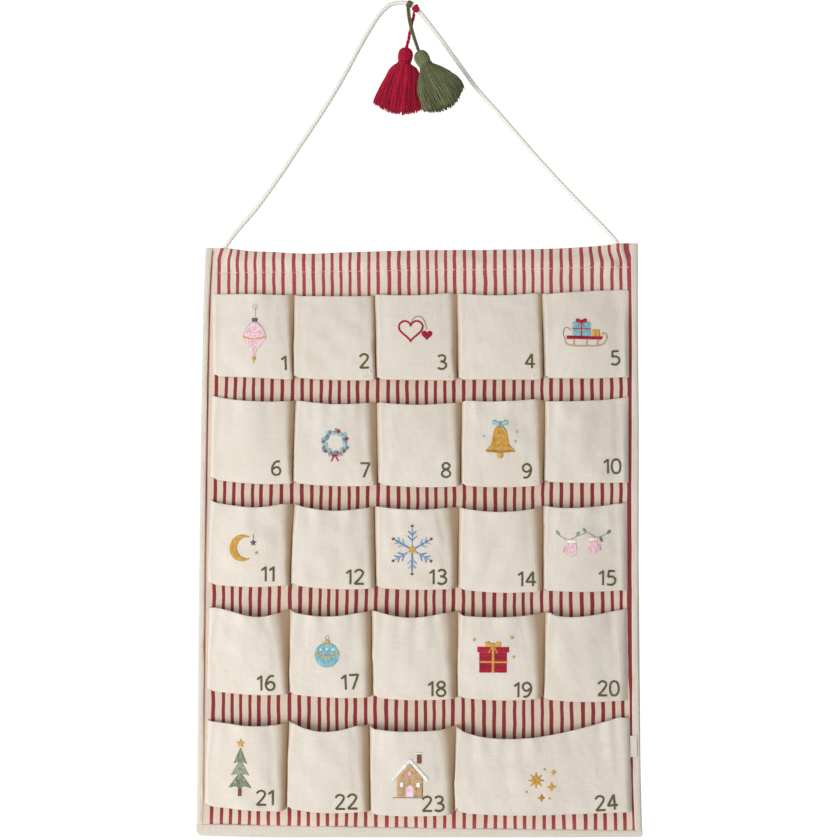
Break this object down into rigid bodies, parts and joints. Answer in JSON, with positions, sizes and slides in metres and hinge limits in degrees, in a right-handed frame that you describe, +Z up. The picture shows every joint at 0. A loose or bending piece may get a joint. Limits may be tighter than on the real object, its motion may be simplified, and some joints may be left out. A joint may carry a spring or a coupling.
{
  "type": "hanging advent calendar",
  "caption": "Fabric wall panel of striped canvas with rows of stitched numbered pockets, a rod casing, a carrying cord and two yarn tassels.",
  "frame": {"origin": "the point of the wall hook under the carrying cord's highest bend", "axes": "+X to the viewer's right, +Y from the calendar's front towards the wall, +Z up"},
  "size_m": [0.4584, 0.0339, 0.8833],
  "materials": {
    "striped_canvas": "cream cotton canvas with narrow woven red stripes",
    "pocket_canvas": "soft natural cotton canvas",
    "lining_canvas": "plain natural cotton lining",
    "binding_canvas": "plain natural cotton binding",
    "cotton_cord": "twisted natural cotton cord",
    "red_yarn": "soft crimson yarn",
    "green_yarn": "soft olive yarn",
    "pale_wood": "plain sanded dowel",
    "woven_label": "blank woven label"
  },
  "bodies": {
    "carrying_cord": {"hanging_cord": "cotton_cord", "red_knot": "red_yarn", "green_hitch": "green_yarn"},
    "panel": {"front_panel": "striped_canvas", "back_panel": "lining_canvas", "binding_left": "binding_canvas", "binding_right": "binding_canvas", "binding_bottom": "binding_canvas", "hanging_rod": "pale_wood", "cord_tail_left": "cotton_cord", "cord_tail_right": "cotton_cord", "side_label": "woven_label", "pocket_01": "pocket_canvas", "pocket_02": "pocket_canvas", "pocket_03": "pocket_canvas", "pocket_04": "pocket_canvas", "pocket_05": "pocket_canvas", "pocket_06": "pocket_canvas", "pocket_07": "pocket_canvas", "pocket_08": "pocket_canvas", "pocket_09": "pocket_canvas", "pocket_10": "pocket_canvas", "pocket_11": "pocket_canvas", "pocket_12": "pocket_canvas", "pocket_13": "pocket_canvas", "pocket_14": "pocket_canvas", "pocket_15": "pocket_canvas", "pocket_16": "pocket_canvas", "pocket_17": "pocket_canvas", "pocket_18": "pocket_canvas", "pocket_19": "pocket_canvas", "pocket_20": "pocket_canvas", "pocket_21": "pocket_canvas", "pocket_22": "pocket_canvas", "pocket_23": "pocket_canvas", "pocket_24": "pocket_canvas"},
    "red_tassel": {"red_string": "red_yarn", "red_tassel_yarn": "red_yarn", "red_neck_wrap": "red_yarn"},
    "green_string": {"green_string": "green_yarn"},
    "green_tassel": {"green_tassel_yarn": "green_yarn", "green_neck_wrap": "green_yarn"}
  },
  "joints": [
    {"name": "panel_tilt", "type": "hinge", "parent": "carrying_cord", "child": "panel", "pos_m": [0.0234, 0, -0.2643], "axis": [-1, 0, 0], "range_deg": [0, 75]},
    {"name": "red_tassel_swing", "type": "hinge", "parent": "carrying_cord", "child": "red_tassel", "pos_m": [0.013, -0.0033, -0.0113], "axis": [0, -1, 0], "range_deg": [-20, 30]},
    {"name": "green_tassel_swing", "type": "hinge", "parent": "carrying_cord", "child": "green_string", "pos_m": [0.0085, -0.00449, -0.00244], "axis": [0, -1, 0], "range_deg": [-35, 15]},
    {"name": "green_tassel_nod", "type": "hinge", "parent": "green_string", "child": "green_tassel", "pos_m": [0.0182, -0.02059, -0.05804], "axis": [-1, 0, 0], "range_deg": [0, 60]}
  ]
}
